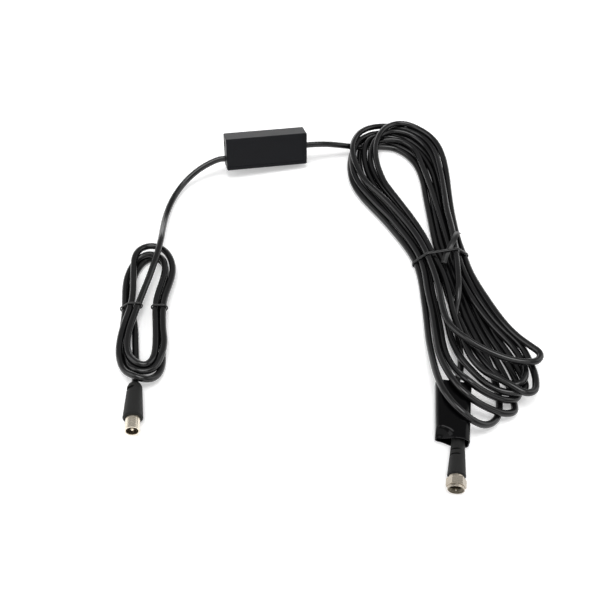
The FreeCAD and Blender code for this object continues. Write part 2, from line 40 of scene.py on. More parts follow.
print("frame:", len(nodes), "nodes")


def linear(code):
    # sRGB to linear: c / 12.92 below 0.04045, else ((c + 0.055) / 1.055) ^ 2.4
    rgb = np.array([int(code[i:i + 2], 16) for i in (1, 3, 5)]) / 255
    return (*np.where(rgb <= 0.04045, rgb / 12.92, ((rgb + 0.055) / 1.055) ** 2.4).tolist(), 1.0)


def addNode(tree, kind, settings={}, links={}):
    node = tree.nodes.new("ShaderNode" + kind)
    for key, value in settings.items():
        if isinstance(key, str) and hasattr(node, key):
            setattr(node, key, value)
        else:
            node.inputs[key].default_value = value
    for key, socket in links.items():
        tree.links.new(socket, node.inputs[key])
    return node


def makeFinish(name, look):
    # broad noise blends two tones; fine noise is the grain, in roughness and in height
    finish = bpy.data.materials.new(name)
    finish.use_nodes = True
    tree = finish.node_tree
    tree.nodes.clear()
    place = addNode(tree, "TexCoord")
    grid = addNode(tree, "Mapping", {"Scale": look.get("stretch", (1, 1, 1))},
                   {"Vector": place.outputs["Object"]})
    broad = addNode(tree, "TexNoise", {"Scale": 1 / (look["patch"] * mm), "Detail": 3.0},
                    {"Vector": grid.outputs[0]})
    fine = addNode(tree, "TexNoise", {"Scale": 1 / (look["grain"] * mm), "Detail": 2.0},
                   {"Vector": grid.outputs[0]})
    tones = addNode(tree, "Mix", {"data_type": "RGBA", 6: linear(look["dark"]), 7: linear(look["light"])},
                    {0: broad.outputs["Fac"]})    # sockets 6 and 7 are the two colours
    gloss = addNode(tree, "MapRange", {"To Min": look["rough"][0], "To Max": look["rough"][1]},
                    {"Value": fine.outputs["Fac"]})
    relief = addNode(tree, "Bump", {"Distance": look["relief"] * mm}, {"Height": fine.outputs["Fac"]})
    skin = addNode(tree, "BsdfPrincipled", look.get("sockets", {}),
                   {"Base Color": tones.outputs[2], "Roughness": gloss.outputs[0],
                    "Normal": relief.outputs[0]})
    addNode(tree, "OutputMaterial", {}, {"Surface": skin.outputs[0]})
    return finish


# Grain finer than a pixel is drawn at about 1 mm, so that it shows.
leadPvc = makeFinish("plasticised PVC, extruded sheath", {     # half gloss, faintly uneven along its length
    "dark": "#080809", "light": "#0e0e0f", "patch": 22, "grain": 1.6, "rough": (0.14, 0.22), "relief": 0.008,
    "sockets": {"IOR": 1.53, "Specular IOR Level": 0.45}})
boxAbs = makeFinish("ABS, moulded in a spark-eroded tool", {   # even fine matt texture, cold black
    "dark": "#0a0b0e", "light": "#101116", "patch": 30, "grain": 0.9, "rough": (0.36, 0.48), "relief": 0.02,
    "sockets": {"IOR": 1.54, "Specular IOR Level": 0.14}})
bootPvc = makeFinish("soft PVC, moulded over the lead", {      # dull grey-black, flow lines along the plug
    "dark": "#101010", "light": "#181817", "patch": 9, "grain": 1.3, "stretch": (1.0, 0.3, 1.0),
    "rough": (0.50, 0.66), "relief": 0.04, "sockets": {"IOR": 1.53, "Specular IOR Level": 0.24}})
nickel = makeFinish("nickel plate on turned brass", {          # warm white metal with rings left by the lathe
    "dark": "#d9cebb", "light": "#efe6d6", "patch": 5, "grain": 0.8, "stretch": (0.1, 1.0, 0.1),
    "rough": (0.22, 0.32), "relief": 0.006, "sockets": {"Metallic": 1.0}})
nutNickelPaintedShade = makeFinish("nickel plate on milled brass, toned down as painted shade", {       # same nickel plate toned darker than the turned parts as painted shade, offsetting the soft box seen in its upward flats; satin flats
    "dark": "#a0978a", "light": "#bab2a5", "patch": 5, "grain": 0.8, "stretch": (0.1, 1.0, 0.1),
    "rough": (0.22, 0.32), "relief": 0.006, "sockets": {"Metallic": 1.0}})
threadNickelPaintedShade = makeFinish("nickel plate on a cut thread, darkened as painted shade", {    # dull, and darkened as painted shade of the bore, since its flanks are too fine to shade each other
    "dark": "#696256", "light": "#857e70", "patch": 3, "grain": 0.6, "rough": (0.30, 0.42), "relief": 0.006,
    "sockets": {"Metallic": 1.0}})
sleeveFilm = makeFinish("polyolefin tube, heat-shrunk", {      # wet-looking black, broad soft ripples
    "dark": "#030304", "light": "#070708", "patch": 14, "grain": 7.0, "rough": (0.08, 0.16), "relief": 0.12,
    "sockets": {"IOR": 1.50, "Specular IOR Level": 0.15}})
tiePvc = makeFinish("PVC on wire, extruded tie strip", {       # thin black strip, half gloss
    "dark": "#0c0c0d", "light": "#141415", "patch": 8, "grain": 1.0, "rough": (0.28, 0.42), "relief": 0.02,
    "sockets": {"IOR": 1.53, "Specular IOR Level": 0.4}})
foamPe = makeFinish("foamed polyethylene, extruded", {         # milky insulation round the wire
    "dark": "#d8d4c8", "light": "#ece9df", "patch": 4, "grain": 0.6, "rough": (0.45, 0.60), "relief": 0.02,
    "sockets": {"IOR": 1.51, "Subsurface Weight": 0.1, "Subsurface Scale": 0.001}})
plugInsertPaintedShade = makeFinish("turned insert, dark as painted shade", {             # brown-black disc deep in the plug: the shade of its depth is painted into its colour
    "dark": "#1d1712", "light": "#2b231b", "patch": 3, "grain": 0.7, "rough": (0.35, 0.50), "relief": 0.01,
    "sockets": {"IOR": 1.48}})
copper = makeFinish("copper, drawn wire", {                    # orange metal, draw marks along the wire
    "dark": "#b06c47", "light": "#d68d63", "patch": 3, "grain": 0.6, "stretch": (1.0, 0.15, 1.0),
    "rough": (0.22, 0.36), "relief": 0.004, "sockets": {"Metallic": 1.0}})
tinplate = makeFinish("tinplate, pressed", {                   # grey bright sheet with rolling haze
    "dark": "#a9abac", "light": "#c9cbcb", "patch": 6, "grain": 0.8, "stretch": (1.0, 0.2, 1.0),
    "rough": (0.26, 0.42), "relief": 0.005, "sockets": {"Metallic": 1.0}})
boardMask = makeFinish("glass-fibre board, solder mask", {     # green lacquer over the weave
    "dark": "#14502f", "light": "#1d6b3f", "patch": 5, "grain": 0.8, "rough": (0.25, 0.40), "relief": 0.02,
    "sockets": {"IOR": 1.52}})
ferrite = makeFinish("ferrite, sintered", {                    # dark grey stone-like drum
    "dark": "#2b2b2e", "light": "#3d3d41", "patch": 2, "grain": 0.5, "rough": (0.50, 0.70), "relief": 0.03,
    "sockets": {"IOR": 1.60}})
canAluminium = makeFinish("aluminium, drawn can", {            # pale can with draw lines up its side
    "dark": "#b9bcbf", "light": "#d4d6d8", "patch": 4, "grain": 0.6, "stretch": (1.0, 1.0, 0.2),
    "rough": (0.25, 0.40), "relief": 0.004, "sockets": {"Metallic": 1.0}})
chipCeramic = makeFinish("barium titanate, fired chip", {      # tan fired block
    "dark": "#8d7458", "light": "#a88c6c", "patch": 1.5, "grain": 0.4, "rough": (0.40, 0.55), "relief": 0.01,
    "sockets": {"IOR": 1.60}})
socketPbt = makeFinish("PBT, moulded socket", {                # hard black, cleaner gloss than the case
    "dark": "#0e0e10", "light": "#17171a", "patch": 6, "grain": 0.8, "rough": (0.30, 0.42), "relief": 0.02,
    "sockets": {"IOR": 1.55}})
print("finishes:", len(bpy.data.materials))

dressing = [
    (boxAbs, ["front_cover", "rear_shell"]),
    (boardMask, ["inserter_board", "amp_board"]),
    (socketPbt, ["power_socket"]),
    (nickel, ["power_socket_pin", "tv_plug_shell", "tv_plug_pin"]),
    (nutNickelPaintedShade, ["antenna_plug_post", "antenna_plug_nut", "antenna_plug_pin"]),
    (ferrite, ["choke_core"]),
    (copper, ["choke_winding"]),
    (canAluminium, ["filter_capacitor"]),
    (chipCeramic, ["chip_capacitors"]),
    (tinplate, ["tv_lead_crimp", "antenna_lead_crimp", "amp_can"]),
    (foamPe, ["tv_lead_core", "antenna_lead_core", "antenna_plug_insulator"]),
    (plugInsertPaintedShade, ["tv_plug_insulator"]),
    (bootPvc, ["tv_plug_boot", "antenna_plug_boot"]),
    (leadPvc, ["antenna_plug_stub"]),
]
for finish, names in dressing:
    for name in names:
        nodes[name].data.materials.clear()
        nodes[name].data.materials.append(finish)
print("dressed:", sum(len(names) for finish, names in dressing), "nodes")


def evenWalk(line, steps):
    # points at equal distances along a polyline
    reach = np.concatenate([[0], np.cumsum(np.linalg.norm(np.diff(line, axis=0), axis=1))])
    at = np.linspace(0, reach[-1], steps + 1)
    return np.stack([np.interp(at, reach, line[:, k]) for k in range(line.shape[1])], 1)


def windTurns(marks, pitch, pieces=24):
    # Hermite pieces through the marks, slopes halfway between the neighbouring chords, walked at the pitch
    p = np.asarray(marks, float)
    chord = np.diff(p, axis=0)
    span = np.linalg.norm(chord, axis=1)[:, None]
    along = chord / span
    slope = np.vstack([along[:1], (along[:-1] + along[1:]) / 2, along[-1:]])
    t = np.linspace(0, 1, pieces, endpoint=False)[:, None, None]
    fine = ((2 * t**3 - 3 * t**2 + 1) * p[:-1] + (t**3 - 2 * t**2 + t) * slope[:-1] * span
            + (3 * t**2 - 2 * t**3) * p[1:] + (t**3 - t**2) * slope[1:] * span)
    fine = np.vstack([fine.transpose(1, 0, 2).reshape(-1, 3), p[-1:]])
    length = np.linalg.norm(np.diff(fine, axis=0), axis=1).sum()
    return evenWalk(fine, int(round(length / pitch)))


def onSpline(p):
    # points that a quadratic spline with these controls passes: one by each control, one between each two
    near = p.copy()
    near[1:-1] = 0.125 * p[:-2] + 0.75 * p[1:-1] + 0.125 * p[2:]
    line = np.empty((2 * len(p) - 1, 3))
    line[0::2], line[1::2] = near, (p[:-1] + p[1:]) / 2
    return line


settling = {
    "pull": 0.03,       # share of the way home that a step takes
    "ease": 0.25,       # share of the change of bend that a step gives back
    "level": 0.5,       # share of the first bend that is kept in height
    "search": 5,        # steps between searches for close strands
    "close": 3.0,       # mm beyond a diameter that the search takes in
    "skip": 10,         # neighbours along the lead that it leaves out
    "pushes": 3,        # in each step
    "yield": 0.7,       # share of a push that a strand follows
}


def settleTurns(p, held, lead, ground):
    # each step: a small pull home and a little smoothing,
    # then strands nearer than a diameter push each other apart
    p, home, free, d = p.copy(), p.copy(), (~held)[:, None].astype(float), lead["diameter"]
    tiny = 1e-9    # keeps a division by a distance of 0 away
    bend = np.zeros_like(p)
    bend[1:-1] = ((home[:-2] + home[2:]) / 2 - home[1:-1]) * (1, 1, settling["level"])
    for step in range(lead["settle"]):
        if step % settling["search"] == 0:
            s = onSpline(p)
            square = (s * s).sum(1)
            close = square[:, None] + square - 2 * s @ s.T < (d + settling["close"]) ** 2
            first, second = np.nonzero(np.triu(close, settling["skip"]))
        p += settling["pull"] * (home - p) * free
        curl = np.zeros_like(p)
        curl[1:-1] = (p[:-2] + p[2:]) / 2 - p[1:-1]
        p += settling["ease"] * (curl - bend) * free
        for again in range(settling["pushes"]):
            s = onSpline(p)
            gap = s[first] - s[second]
            apart = np.linalg.norm(gap, axis=1) + tiny
            hit = apart < d
            a, b = first[hit], second[hit]
            half = gap[hit] * ((d - apart[hit]) / 2 / apart[hit])[:, None]
            push, count = np.zeros_like(s), np.ones(len(s))
            np.add.at(push, a, half)
            np.add.at(push, b, -half)
            np.add.at(count, np.concatenate([a, b]), 1)
            push /= np.sqrt(np.maximum(count - 1, 1))[:, None]
            move = push[0::2].copy()
            move[:-1] += push[1::2] / 2
            move[1:] += push[1::2] / 2
            p += settling["yield"] * move * free
            p[:, 2] = np.where(held, p[:, 2], np.maximum(p[:, 2], ground(p) + d / 2))
    return p


def leadPoints(lead, ground):
    # run and tail keep the points given; only the turns between them are wound and settled
    run, tail = np.array(lead["run"], float), np.array(lead["tail"], float)
    marks = [lead["run"][-1], *[mark for turn in lead["turns"] for mark in turn], lead["tail"][0]]
    coil = windTurns(marks, lead["pitch"])[1:-1]
    held = np.repeat([True, False, True], [len(run), len(coil), len(tail)])
    return settleTurns(np.vstack([run, coil, tail]), held, lead, ground)


def leadCurve(name, points, diameter, finish):
    # round tube along a quadratic spline, with the points as its controls
    data = bpy.data.curves.new(name, "CURVE")
    data.dimensions = "3D"
    spline = data.splines.new("NURBS")
    spline.points.add(len(points) - 1)
    spline.points.foreach_set("co", np.column_stack([points * mm, np.ones(len(points))]).ravel())
    spline.order_u = 3
    spline.use_endpoint_u = True
    spline.resolution_u = 4
    data.bevel_depth = diameter / 2 * mm
    data.bevel_resolution = 5
    data.use_fill_caps = True
    data.materials.append(finish)
    curve = bpy.data.objects.new(name, data)
    bpy.context.scene.collection.objects.link(curve)
    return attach(curve, "lead_set")


def gridPiece(name, grids, finish, body):
    # each grid is rows x columns of points closed round its columns; rows close too, or get end faces
    points, faces, start = [], [], 0
    for grid, ring in grids:
        rows, columns = grid.shape[:2]
        index = start + np.arange(rows * columns).reshape(rows, columns)
        ahead = np.roll(index, -1, axis=0) if ring else index[1:]
        here = index if ring else index[:-1]
        quads = np.stack([here, np.roll(here, -1, axis=1), np.roll(ahead, -1, axis=1), ahead], 2)
        faces += quads.reshape(-1, 4).tolist()
        if not ring:
            faces += [index[0, ::-1].tolist(), index[-1].tolist()]
        points.append(grid.reshape(-1, 3))
        start += rows * columns
    mesh = bpy.data.meshes.new(name)
    mesh.from_pydata((np.vstack(points) * mm).tolist(), [], faces)
    mesh.polygons.foreach_set("use_smooth", np.ones(len(mesh.polygons), bool))
    mesh.materials.append(finish)
    mesh.update()
    piece = bpy.data.objects.new(name, mesh)
    bpy.context.scene.collection.objects.link(piece)
    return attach(piece, body)


def tightLine(centres, radius, steps, angles=721):
    # line drawn tight round equal discs: furthest centre along each angle, plus radius that way
    angle = np.linspace(0, 2 * np.pi, angles)
    away = np.stack([np.cos(angle), np.sin(angle)], 1)
    line = centres[np.argmax(centres @ away.T, axis=0)] + radius * away
    return evenWalk(line, steps)[:-1]


# Amplifier sleeve, mm
sleeve = {
    "front": (124.9, -272.0), "heading": -99.0, "length": 42.0, "width": 21.5, "height": 12.8,
    "corner": 4.0, "wall": 0.8, "floorGap": 0.05,
    "lip": 5.0, "sag": 6.5, "free": 1.5, "blend": 9.0,    # the lip droops to the left of "free"
    "reach": 1.0, "slant": 2.0, "flare": 2.4,
    "ripple": 0.05, "waveAlong": 0.55, "waveSkew": 0.35, "waveAcross": 0.42,
    "clear": 0.2, "spill": (2.5, 2.0, 1.6),    # room for strands above it, and past its back, front and sides
}
sleeveAxis = np.array([math.cos(math.radians(sleeve["heading"])), math.sin(math.radians(sleeve["heading"]))])
sleeveSide = np.array([-sleeveAxis[1], sleeveAxis[0]])    # to the right of someone at the plug end


def sleeveLoop(inset, steps):
    # rounded rectangle: line round four discs at the corners
    r = sleeve["corner"]
    x, z = sleeve["width"] / 2 - r, sleeve["height"] / 2 - r
    centres = np.array([(x, z), (-x, z), (-x, -z), (x, -z)]) + (0, sleeve["height"] / 2)
    return tightLine(centres, r - inset, steps)


def smooth(t):
    # 3 t^2 - 2 t^3: from 0 to 1, level at both ends
    t = np.clip(t, 0, 1)
    return t * t * (3 - 2 * t)


def sleeveGrid(steps=120, rows=64):
    # outer skin from back to front, then the inner skin back again; the lip droops on its free side:
    # z falls by sag * smooth(1 + x / lip) * low * (z / height)^1.5
    along = -sleeve["length"] * (1 - np.linspace(0, 1, rows))
    insets = np.concatenate([np.zeros(rows), np.full(rows, sleeve["wall"])])
    stations = np.concatenate([along, along[::-1]])
    loops = np.stack([sleeveLoop(0, steps), sleeveLoop(sleeve["wall"], steps)])
    section = loops[(insets > 0).astype(int)]
    y, z = section[..., 0], section[..., 1]
    x = np.broadcast_to(stations[:, None], y.shape)
    low = smooth((sleeve["free"] - y) / sleeve["blend"])    # 0 over the plug, 1 at the free edge
    fall = smooth(1 + x / sleeve["lip"]) * low * sleeve["sag"]
    rise = z / sleeve["height"]
    waves = np.sin(x * sleeve["waveAlong"] + sleeve["waveSkew"] * y) * np.sin(y * sleeve["waveAcross"] + 1.0)
    z = z - fall * rise ** 1.5 + sleeve["ripple"] * waves * rise * (insets[:, None] == 0)
    y = y + sleeve["flare"] * x / sleeve["length"] * smooth(-2 * y / sleeve["width"])    # wider at the back
    x = x + sleeve["reach"] * smooth(1 + x / sleeve["lip"]) * rise    # the upper lip reaches further
    x = x - sleeve["slant"] * low * smooth(1 + 2 * x / sleeve["length"])    # cut on a slant
    flat = np.asarray(sleeve["front"]) + x[..., None] * sleeveAxis + y[..., None] * sleeveSide
    return np.concatenate([flat, np.maximum(z, sleeve["floorGap"])[..., None]], axis=2)


ampSleeve = gridPiece("ampSleeve", [(sleeveGrid(), True)], sleeveFilm, "lead_set")
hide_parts("amp_sleeve")
print("sleeve: made")

# Leads and their hanks, mm; the marks of a turn were chosen along its strand
# Strands rise over a strip within about "lift" of it, and those in its "band" are tied;
# each of the "reaches" is one hoop, from and to along the strip
tieStrip = {"thick": 1.0, "rib": 0.3, "lift": 9.0, "band": 2.5, "floorGap": 0.05}
tvTie = {"place": (-82.0, -162.5), "heading": -3.5, "width": 1.5, "reaches": [(-24, 3), (3, 24)]}
antennaTie = {"place": (133.4, -114.5), "heading": 9.5, "width": 2.0, "reaches": [(-30, 30)]}


def tieFrame(tie):
    # strip runs along the first axis, strands along the second
    a = math.radians(tie["heading"])
    return np.array(tie["place"]), np.array([math.cos(a), math.sin(a)]), np.array([-math.sin(a), math.cos(a)])


def overStrip(p, tie):
    # strands lift by the strip's thickness where it passes below: thick * exp(-(distance / lift)^2)
    place, across, along = tieFrame(tie)
    return tieStrip["thick"] * np.exp(-(((p[:, :2] - place) @ along) / tieStrip["lift"]) ** 2)


def overSleeve(p):
    # height of the sleeve's top below a strand, falling off at its shoulders
    q = p[:, :2] - np.asarray(sleeve["front"])
    x, y = q @ sleeveAxis, np.abs(q @ sleeveSide)
    half, corner = sleeve["width"] / 2, sleeve["corner"]
    back, front, beside = sleeve["spill"]
    shoulder = np.clip((y - half + corner) / (corner + beside), 0, 1)
    inside = (x > -sleeve["length"] - back) & (x < front) & (y < half + beside)
    return np.where(inside, sleeve["height"] + sleeve["clear"] - corner * shoulder ** 2, 0)


tvLead = {
    "diameter": 4.8, "pitch": 6.5, "settle": 150, "length": 1.01, "exit": (-32.838, -8.673, 13.663),
    "run": [(-24.927, -7.008, 13.165), (-32.838, -8.673, 13.663), (-39.676, -10.111, 14.094),
            (-54, -17.5, 10.6), (-66.6, -29, 5.4), (-74.4, -46, 3.2), (-77.7, -64, 3.4), (-77.7, -83, 7.2),
            (-76.7, -100, 12.2), (-78, -117, 12.6), (-81.3, -135, 10.6)],
    "tail": [(-85.6, -195, 2.5), (-83.6, -208, 2.6), (-82.009, -221.442, 4.411), (-81.4, -228.4, 4.878),
             (-80.704, -236.352, 5.411)],
    "turns": [
        [(-84.3, -148, 9), (-90.9, -185, 7.6), (-90.4, -199, 7.6), (-86.6, -210, 8.2), (-79.8, -216.5, 8.4),
         (-73.2, -216.5, 7.6), (-69.9, -208, 6.8), (-70.5, -196, 6.6), (-74.5, -158, 6.6),
         (-72.1, -121.5, 6.6), (-75.7, -114.5, 6.6), (-89.2, -112, 6), (-98.5, -127, 3)],
        [(-96.7, -163, 2.5), (-93.7, -202, 3.6), (-79.7, -218.5, 7.4), (-71.7, -216, 6), (-65.5, -195, 5.5),
         (-67.5, -182.5, 6.5), (-69.7, -160, 6.6), (-66.1, -124, 6.6), (-73.2, -107.5, 6.6),
         (-81.7, -102.6, 6.6), (-88.7, -104.2, 6.6), (-93.1, -111, 6.8)],
        [(-94.3, -121, 7.2), (-91.9, -158, 7.2), (-94.8, -192, 6.6), (-89.2, -214.5, 3.8),
         (-83.2, -222.5, 7.2), (-75.7, -226, 7.2), (-68.7, -222.5, 3.8), (-65.7, -212.5, 2.5),
         (-68.9, -186, 2.5), (-71.9, -158, 2.5), (-72.8, -119.5, 2.5), (-77.4, -112.5, 2.5), (-84, -110, 2.5),
         (-90.4, -113, 2.5), (-94.4, -121, 2.5), (-93.6, -158, 2.5), (-88.4, -177, 2.5)],
    ],
}
antennaLead = {
    "diameter": 4.8, "pitch": 9.0, "settle": 150, "length": 4.66, "exit": (32.867, 6.914, 14.945),
    "run": [(24.955, 5.25, 15.443), (32.867, 6.914, 14.945), (39.704, 8.352, 14.515), (52, 10.3, 13.4),
            (66, 13, 9.4), (79, 15.5, 5.4), (91, 18, 3.6)],
    "tail": [(139.5, -184, 2.6), (139.5, -199, 2.6), (138.5, -213, 3.2), (134, -224, 5),
             (131.314, -231.505, 6.601), (129.437, -243.357, 6.601)],
    "turns": [
        [(107, 18.5, 2.4), (114.5, 14.5, 2.4), (125.5, -1, 2.4), (130.5, -23.5, 2.4), (131, -42, 2.4),
         (133, -83, 2.4), (134, -102, 2.4), (139, -122.5, 2.4), (145.5, -161.5, 2.4), (149.5, -180, 2.4),
         (158, -210, 2.4), (159.5, -246, 2.4), (156, -254.5, 2.8), (149.5, -260.5, 5), (142, -261.5, 9),
         (136, -259, 13), (129.5, -253.5, 15.3), (122.5, -240.5, 15.3), (118.5, -198, 5.3),
         (119, -161.5, 2.4), (117.5, -122.5, 2.4), (113.5, -107, 2.5), (97, -73.5, 3), (78, -42, 3.5),
         (72.5, -27, 3.6), (71.5, -1.5, 3.6), (77.5, 18, 3.8), (83, 23.5, 3.6), (91, 26, 3.4)],
        [(117, 18, 2.8), (129, 4, 2.5), (135.5, -39.5, 2.4), (136, -60.5, 2.4), (139, -102, 2.4),
         (143, -122.5, 2.4), (150, -161.5, 2.4), (154.5, -180, 2.4), (164.5, -210, 2.4), (171, -235.5, 4),
         (169.5, -249, 6.5), (165, -252, 7), (145.5, -247.5, 9.5), (133.5, -240, 15), (123.5, -210, 10.7),
         (123, -185, 7.3), (123, -168.5, 6.8), (121.5, -146.5, 6.8), (121, -127, 7), (118, -110, 6.6),
         (101, -73, 6), (90, -56, 6), (75, -27, 6.6), (72, -4, 7), (79, 19, 6.6), (94.5, 28.5, 6.6)],
        [(119, 27, 6.4), (131, 15, 5.6), (144.5, -19, 3.8), (145.5, -37.5, 3), (146.5, -74, 2.4),
         (147, -102, 2.4), (155, -142.5, 2.4), (164.5, -180, 2.6), (176.5, -218.5, 5.8), (177, -234.5, 8.6),
         (173.5, -238.5, 8.8), (162.5, -238, 8.7), (150.5, -229, 8.8), (142.5, -216, 8), (138.5, -209, 7.4),
         (134, -190, 5.4), (133.5, -176, 3.2), (132, -160.5, 2.4), (129.5, -122.5, 2.4), (125, -104, 2.4),
         (110.5, -69.5, 2.4), (94.5, -38.5, 2.6), (84, -10, 4.6), (86.5, 19.5, 6)],
        [(98, 28.5, 6), (119, 26, 5.2), (131.5, 12, 4), (139, -9.5, 3.2), (141, -39.5, 2.5),
         (142, -80.5, 2.4), (143, -102, 2.4), (147, -122.5, 2.4), (155, -161.5, 2.4), (159.5, -180, 2.4),
         (172.5, -220, 4.5), (173, -236.5, 7.5), (169, -241.5, 8), (162.5, -242.5, 8), (146.5, -236.5, 8),
         (139.5, -232.5, 8.5), (129, -210, 7.2), (127.5, -172.5, 3), (125.5, -142.5, 2.4), (125, -122.5, 2.4),
         (120, -104, 2.4), (104.5, -69.5, 2.4), (94, -47.5, 2.4), (87.5, -37, 2.4), (80, -15.5, 3),
         (83, 20, 4.8), (88, 25, 5)],
        [(104.5, 27, 5.2), (118, 22, 6), (127, 10.5, 6.3), (129.5, -2, 6.5), (135.5, -39.5, 6.8),
         (140, -79.5, 7), (142.5, -106.5, 7), (145, -126.5, 6.6), (157.5, -165, 6.4), (166.5, -181.5, 6),
         (175.5, -196.5, 6.2), (180.5, -219.5, 8.4), (176, -232, 9.5), (171, -233.5, 9.6),
         (156.5, -218.5, 9.6), (146.5, -194, 6.8), (141.5, -170, 3.8), (137.5, -155.5, 2.8),
         (134, -122.5, 2.4), (125.5, -92.5, 2.4), (116.5, -71.5, 2.4), (104, -49.5, 3), (93.5, -30.5, 4.6),
         (87, -3, 7.4), (94.5, 26, 8)],
        [(109, 32.5, 8), (124.5, 29, 7.4), (136, 15, 6.8), (142, -8.5, 6.5), (145, -53, 6.4), (145, -70, 6.4),
         (147.5, -106, 6.6), (149.5, -127, 7), (162, -165.5, 7.2), (168, -180.5, 7.6), (180.5, -200, 8.6),
         (183, -213, 9), (184.5, -219.5, 9.2), (181, -239.5, 10.3), (176.5, -241, 10.5), (161, -229, 11.2),
         (153.5, -224.5, 11.4), (144.5, -211, 11.5), (142.5, -203, 11.5), (137, -168.5, 10), (136.5, -150, 9),
         (133.5, -128, 8), (127, -108.5, 9), (124.5, -98.5, 9.5), (116.5, -77.5, 10.5), (101, -45, 12),
         (96, -33, 12), (92.5, 9.5, 12), (101.5, 30.5, 12)],
        [(111.5, 37.5, 12), (118, 38, 12), (138, 22, 12), (146, 3.5, 11.5), (148.5, -17.5, 10),
         (147.5, -58.5, 5), (148, -82.5, 3.4), (150.5, -103, 3.4), (153.5, -126, 6), (165, -167, 10),
         (175.5, -190.5, 12.5), (185, -202.5, 14), (190, -207, 14.6), (191.5, -212, 15), (188.5, -216, 15.3),
         (169, -215, 15.5), (134.5, -188, 13.5), (129.5, -171, 12.6), (129, -151.5, 12), (127, -131, 11.5),
         (120, -99, 10), (110, -77, 10), (97, -54.5, 10), (81.5, -31, 10), (73.5, 6.5, 10), (83.5, 32, 10),
         (96.5, 38, 9.5)],
        [(109.5, 38.5, 8), (118.5, 32.5, 9), (124.5, 30.5, 9), (139, 12, 10), (143.5, -19.5, 10.8),
         (144, -44, 11), (144, -67, 11), (145.5, -89, 11), (145.5, -111, 11.8), (144.5, -139, 11.8),
         (143.5, -154, 9.4), (143, -157, 6.6), (140, -170, 4)],
    ],
}
tvPoints = leadPoints(tvLead, lambda p: overStrip(p, tvTie))
antennaPoints = leadPoints(antennaLead, lambda p: np.maximum(overStrip(p, antennaTie), overSleeve(p)))
tvCurve = leadCurve("tvLead", tvPoints, tvLead["diameter"], leadPvc)
antennaCurve = leadCurve("antennaLead", antennaPoints, antennaLead["diameter"], leadPvc)
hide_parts("tv_lead_run", "tv_lead_hank", "tv_lead_tail")
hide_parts("antenna_lead_run", "antenna_lead_hank", "antenna_lead_tail")
print("leads:", len(tvPoints), "and", len(antennaPoints), "points")


# Twist ties
def stripProfile(width, thick, rib, steps=20, blunt=(0.7, 0.5), wire=0.2):
    # flat oval (w/2 cos a, t/2 sin a), squared off, with the wire's rib along the middle of both faces
    a = np.linspace(0, 2 * np.pi, steps, endpoint=False)
    side = width / 2 * np.sign(np.cos(a)) * np.abs(np.cos(a)) ** blunt[0]
    face = thick / 2 * np.sign(np.sin(a)) * np.abs(np.sin(a)) ** blunt[1]
    return side, face * (1 - rib) + np.sign(face) * rib * thick / 2 * np.exp(-(side / (wire * width)) ** 2)


def carry(profile, path, out, side):
    # profile carried along a path: path + face * out + side * side
    across, face = profile
    return path[:, None] + face[None, :, None] * out[:, None] + across[None, :, None] * side[:, None]


def hoop(tie, lead, points, low, high, steps=160, samples=8):
    # strip pulled tight round the strands that cross its plane between two reaches
    place, across, along = tieFrame(tie)
    line = evenWalk(onSpline(points), samples * len(points))
    flat = line[:, :2] - place
    reach = flat @ across
    near = (np.abs(flat @ along) < tieStrip["band"]) & (reach > low) & (reach < high)
    radius = lead["diameter"] / 2 + tieStrip["thick"] / 2
    ring = tightLine(np.stack([reach[near], line[near, 2]], 1), radius, steps)
    ring[:, 1] = np.maximum(ring[:, 1], tieStrip["thick"] / 2 + tieStrip["floorGap"])
    path = np.column_stack([place + ring[:, :1] * across, ring[:, 1]])
    turn = np.roll(ring, -1, axis=0) - np.roll(ring, 1, axis=0)
    turn /= np.linalg.norm(turn, axis=1)[:, None]
    out = np.column_stack([turn[:, 1:] * across, -turn[:, 0]])
    side = np.tile([*along, 0.0], (steps, 1))
    return carry(stripProfile(tie["width"], tieStrip["thick"], tieStrip["rib"]), path, out, side)


def lineFrame(path):
    # level side square to the line, and the way out square to both
    along = np.gradient(path, axis=0)
    side = np.cross(along, (0, 0, 1))
    side /= np.linalg.norm(side, axis=1)[:, None]
    out = np.cross(side, along)
    return side, out / np.linalg.norm(out, axis=1)[:, None]


def flatTail(tail):
    # free end of the strip, pressed flat, over a smooth line through the marks
    path = windTurns(tail["marks"], tail["pitch"])
    side, out = lineFrame(path)
    return carry(stripProfile(tail["width"], tail["thick"], tail["rib"]), path, out, side)


def twist(knot, start):
    # one of two strips wound round a line: line + radius * (side cos a + out sin a), a = start + 2 pi turns t
    path = windTurns(knot["marks"], knot["pitch"])
    side, out = lineFrame(path)
    a = start + 2 * np.pi * knot["turns"] * np.linspace(0, 1, len(path))[:, None]
    away, across = side * np.cos(a) + out * np.sin(a), out * np.cos(a) - side * np.sin(a)
    profile = stripProfile(knot["width"], tieStrip["thick"], tieStrip["rib"])
    return carry(profile, path + knot["radius"] * away, away, across)


tieTail = {
    "width": 4.2, "thick": 1.3, "rib": 0.65, "pitch": 0.8,
    "marks": [(135.5, -123, 10.5), (137.5, -117, 11.8), (140, -112, 13.3), (142.5, -108, 15),
              (145, -103, 15.5), (147.5, -97, 14.6), (149.5, -92.5, 12), (150.5, -90, 8.5)],
}
tieKnot = {
    "width": 1.8, "radius": 0.7, "turns": 1.6, "pitch": 0.4,
    "marks": [(149.5, -110.5, 9.5), (152.5, -111.5, 8.5), (153.5, -113.5, 7), (153, -116, 5.5)],
}
tvHoops = [(hoop(tvTie, tvLead, tvPoints, *reach), True) for reach in tvTie["reaches"]]
antennaHoops = [(hoop(antennaTie, antennaLead, antennaPoints, *reach), True)
                for reach in antennaTie["reaches"]]
looseEnds = [(flatTail(tieTail), False), (twist(tieKnot, 0), False), (twist(tieKnot, math.pi), False)]
tvTiePiece = gridPiece("tvTie", tvHoops, tiePvc, "lead_set")
antennaTiePiece = gridPiece("antennaTie", antennaHoops + looseEnds, tiePvc, "lead_set")
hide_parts("tv_lead_tie")
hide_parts("antenna_lead_tie")
print("ties: made")

